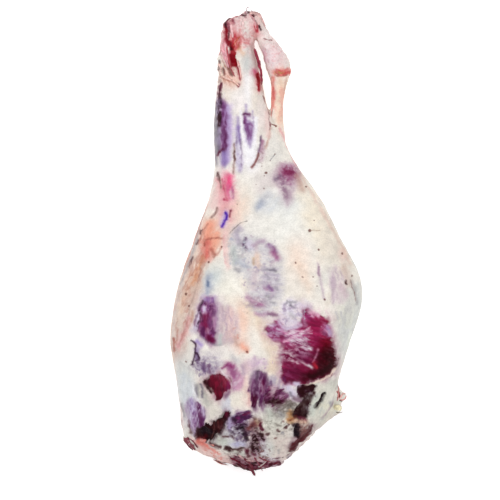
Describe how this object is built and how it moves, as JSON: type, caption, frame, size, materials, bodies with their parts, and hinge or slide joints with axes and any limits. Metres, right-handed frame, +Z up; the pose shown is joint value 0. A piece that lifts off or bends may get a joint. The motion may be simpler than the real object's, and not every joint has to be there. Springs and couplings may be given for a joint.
{
  "type": "raw veal leg",
  "caption": "Whole raw veal leg with a slim shank and cut hock, a full rounded thigh under a thin fat cover, and a heel string standing clear of the shank.",
  "frame": {"origin": "middle of the underside of the box that the leg fills, at floor level", "axes": "+Z up, out of the fat-covered outer side; +Y from the rump to the hock; +X to the heel side"},
  "size_m": [0.326, 0.787, 0.2016],
  "materials": {
    "flesh": "moist satin"
  },
  "bodies": {
    "root": {"veal_leg": "flesh"}
  },
  "joints": []
}
